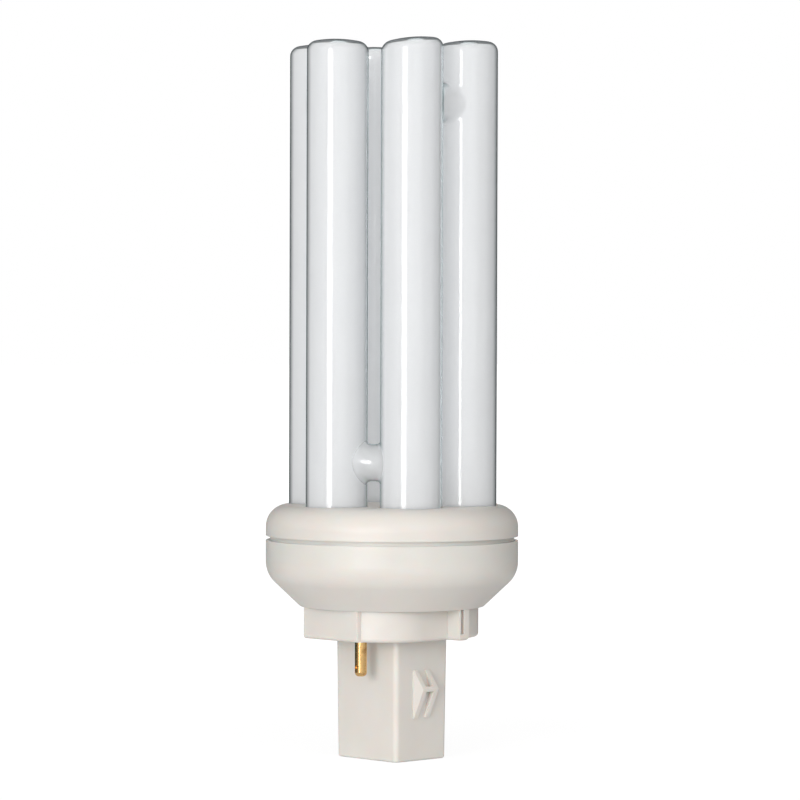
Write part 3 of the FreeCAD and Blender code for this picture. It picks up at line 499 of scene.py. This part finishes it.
# Several parts as one, with their quads counted on.
def joinedParts(parts):
    starts = np.cumsum([0] + [len(points) for points, _, _ in parts[:-1]])
    return (np.concatenate([points for points, _, _ in parts]),
            np.concatenate([quads + start for (_, quads, _), start in zip(parts, starts)]),
            np.concatenate([kinds for _, _, kinds in parts]))


stubs = {                                      # leg: width, thickness and length below the leg's foot, in mm
    0: (3.4, 3.4, 4.0),                        # the exhaust tube, through which the air was pumped out
    1: (7.0, 2.6, 4.5), 2: (7.0, 2.6, 4.5),    # the pinch seals, where the leads come in
}


# A glass stub under a leg's foot: straight, oval where it is wider than thick, with a melted round end.
def footStub(leg, width, thickness, length):
    turn = np.radians(np.arange(0, 360, 15))
    bite = 0.4                                 # mm that it stands in the leg's foot
    melt = thickness / 3                       # height of the round end
    # Share of the stub's width, and mm below the leg's foot.
    rows = np.array([(0.0, -bite), (1.0, -bite), (1.0, length - melt), (0.85, length - melt / 4),
                     (0.4, length), (0.0, length)])
    outward = legAxis(leg) / tubeShape["ringRadius"]
    sideways = np.array([-outward[1], outward[0], 0.0])
    ring = (np.cos(turn)[:, None] * sideways * width + np.sin(turn)[:, None] * outward * thickness) / 2
    foot = legAxis(leg) + np.array([0, 0, legBottom])
    points = foot + rows[:, :1, None] * ring - rows[:, 1:, None] * np.array([0, 0, 1.0])
    quads = gridFaces(len(rows), len(turn))
    return points.reshape(-1, 3), quads, np.full(len(quads), slotClear)


allBridges = highBridges + lowBridges
outerSkin = joinedParts(tubeSkin(0.0, allBridges))
innerSkin = joinedParts(tubeSkin(tubeShape["wall"], allBridges))
stubParts = [footStub(leg, *sizes) for leg, sizes in stubs.items()]
glassTube = addPiece("glassTube", [outerSkin, innerSkin, *stubParts],
                     [coatedGlass, stubGlass, bridgeGlass, crownGlass], inwards=(1,))
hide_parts("glass_tube")
coatSkin = joinedParts(tubeSkin(tubeShape["wall"] - tubeShape["coatSink"], highBridges))
phosphorCoat = addPiece("phosphorCoat", [coatSkin], [coat])
print("glass tube:", len(glassTube.data.polygons), "faces")


# Studio

studio = {
    "distance": 740.0, "eyeHeight": 82.3, "azimuth": -44.0,
    "aimHeight": 68.74, "aimRight": 1.46, "roll": 0.18, "lens": 173.33, "sensor": 36.0,
    "clipFrom": 0.05, "clipTo": 20.0,          # m
    "lampAimHeight": 70.0,
}


# A place beside the object: azimuth 0 is on the -Y side and 90 on the +X side.
def around(azimuth, distance, height):
    turn = math.radians(azimuth)
    return Vector((math.sin(turn) * distance * mm, -math.cos(turn) * distance * mm, height * mm))


def aimed(thing, place, target, roll=0.0):
    turn = (target - place).to_track_quat("-Z", "Y").to_matrix() @ Matrix.Rotation(math.radians(roll), 3, "Z")
    thing.location = place
    thing.rotation_euler = turn.to_euler()


camera = bpy.data.objects.new("camera", bpy.data.cameras.new("camera"))
scene.collection.objects.link(camera)
scene.camera = camera
camera.data.lens, camera.data.sensor_width = studio["lens"], studio["sensor"]
camera.data.clip_start, camera.data.clip_end = studio["clipFrom"], studio["clipTo"]
aimRight = around(studio["azimuth"] + 90, studio["aimRight"], studio["aimHeight"])
aimed(camera, around(studio["azimuth"], studio["distance"], studio["eyeHeight"]), aimRight, studio["roll"])

lamps = {                                      # azimuth from the camera, distance, height, width, tall, power
    "stripBox": (-26.6, 900.0, 110.0, 290.0, 380.0, 3.7),
    "frontBox": (3.0, 1500.0, 420.0, 2000.0, 1400.0, 9.5),
}
for name, (azimuth, distance, height, width, tall, power) in lamps.items():
    lamp = bpy.data.objects.new(name, bpy.data.lights.new(name, "AREA"))
    lamp.data.shape = "RECTANGLE"
    lamp.data.size, lamp.data.size_y = width * mm, tall * mm
    lamp.data.energy = power
    scene.collection.objects.link(lamp)
    aimed(lamp, around(studio["azimuth"] + azimuth, distance, height),
          Vector((0, 0, studio["lampAimHeight"] * mm)))

# A white light tent: bright on the camera's side and dimmer behind. The camera, reflections and clear glass
# see it plain white. Towards and away are cosines of the angle to that side, where front and behind are full.
backdrop = {"seen": 1.0, "front": 0.78, "behind": 0.36, "towards": 0.9, "away": -0.5}
world = bpy.data.worlds.new("whiteTent")
scene.world = world
world.use_nodes = True
world.node_tree.nodes.clear()
view = addNode(world.node_tree, "ShaderNodeTexCoord").outputs["Generated"]
facing = addNode(world.node_tree, "ShaderNodeVectorMath", {1: around(studio["azimuth"], 1 / mm, 0.0)},
                 {0: view}, operation="DOT_PRODUCT").outputs["Value"]
tent = addNode(world.node_tree, "ShaderNodeMapRange",
               {"From Min": backdrop["away"], "From Max": backdrop["towards"],
                "To Min": backdrop["behind"], "To Max": backdrop["front"]}, {"Value": facing})
path = addNode(world.node_tree, "ShaderNodeLightPath")
sharp = addNode(world.node_tree, "ShaderNodeMath",
                links={0: path.outputs["Is Glossy Ray"], 1: path.outputs["Is Transmission Ray"]},
                operation="MAXIMUM")
direct = addNode(world.node_tree, "ShaderNodeMath",
                 links={0: path.outputs["Is Camera Ray"], 1: sharp.outputs[0]}, operation="MAXIMUM")
strength = addNode(world.node_tree, "ShaderNodeMapRange", {"To Max": backdrop["seen"]},
                   {"Value": direct.outputs[0], "To Min": tent.outputs["Result"]})
light = addNode(world.node_tree, "ShaderNodeBackground", {"Color": (1, 1, 1, 1)},
                {"Strength": strength.outputs["Result"]})
addNode(world.node_tree, "ShaderNodeOutputWorld", links={"Surface": light.outputs["Background"]})


floorLook = {
    "paper": "#F4F4F4",
    "half": 6.0,                               # m, half of its width
    "glow": 1.12,                              # what camera rays see of the paper's own white
    "shadowShare": 0.2,                        # how much of the lamps' light and shadow shows near the object
    "fadeFrom": 60.0, "fadeTo": 260.0,         # mm from the object's middle, where that share fades out
}


# Matt white paper. Camera rays see it at full white, and only a faint shadow stays near the object.
def makeFloorPaint():
    material, tree = newMaterial("whitePaper")
    place = addNode(tree, "ShaderNodeTexCoord").outputs["Object"]
    away = addNode(tree, "ShaderNodeVectorMath", links={0: place}, operation="LENGTH").outputs["Value"]
    fade = addNode(tree, "ShaderNodeMapRange",
                   {"From Min": floorLook["fadeFrom"] * mm, "From Max": floorLook["fadeTo"] * mm,
                    "To Min": 1 - floorLook["shadowShare"], "To Max": 1.0}, {"Value": away},
                   interpolation_type="SMOOTHSTEP")
    paper = addNode(tree, "ShaderNodeBsdfDiffuse", {"Color": linear(floorLook["paper"])})
    glow = addNode(tree, "ShaderNodeEmission", {"Strength": floorLook["glow"]})
    path = addNode(tree, "ShaderNodeLightPath")
    share = addNode(tree, "ShaderNodeMath",
                    links={0: path.outputs["Is Camera Ray"], 1: fade.outputs["Result"]}, operation="MULTIPLY")
    both = addNode(tree, "ShaderNodeMixShader",
                   links={0: share.outputs[0], 1: paper.outputs["BSDF"], 2: glow.outputs["Emission"]})
    finishMaterial(tree, both.outputs["Shader"])
    return material


def stagePlane(name, points, material):
    mesh = bpy.data.meshes.new(name)
    mesh.from_pydata([tuple(point) for point in points], [], [(0, 1, 2, 3)])
    mesh.materials.append(material)
    plane = bpy.data.objects.new(name, mesh)
    scene.collection.objects.link(plane)
    return plane


half = floorLook["half"]
stagePlane("floor", [(-half, -half, 0), (half, -half, 0), (half, half, 0), (-half, half, 0)],
           makeFloorPaint())

# Grey cards beside and behind the object and above its back. Only reflections and clear glass show them:
# they give the dark lines along the edges of the glass and the dark side of the pin.
cards = {"from": 9.0, "toLeft": 122.0, "toRight": 98.0, "distance": 220.0,
         "low": 0.5, "high": 600.0, "topLow": 158.0, "colour": "#364144"}
cardGrey, cardTree = newMaterial("greyCard")
cardGlow = addNode(cardTree, "ShaderNodeEmission", {"Color": linear(cards["colour"]), "Strength": 1.0})
finishMaterial(cardTree, cardGlow.outputs["Emission"])
for name, start, end, bottom in (("cardLeft", cards["from"], cards["toLeft"], cards["low"]),
                                 ("cardRight", -cards["from"], -cards["toRight"], cards["low"]),
                                 ("cardTop", cards["from"], -cards["from"], cards["topLow"])):
    near, far = (around(studio["azimuth"] + 180 + turn, cards["distance"], 0) for turn in (start, end))
    low, high = Vector((0, 0, bottom * mm)), Vector((0, 0, cards["high"] * mm))
    card = stagePlane(name, [near + low, far + low, far + high, near + high], cardGrey)
    card.visible_camera = card.visible_diffuse = card.visible_shadow = False
print("studio set")
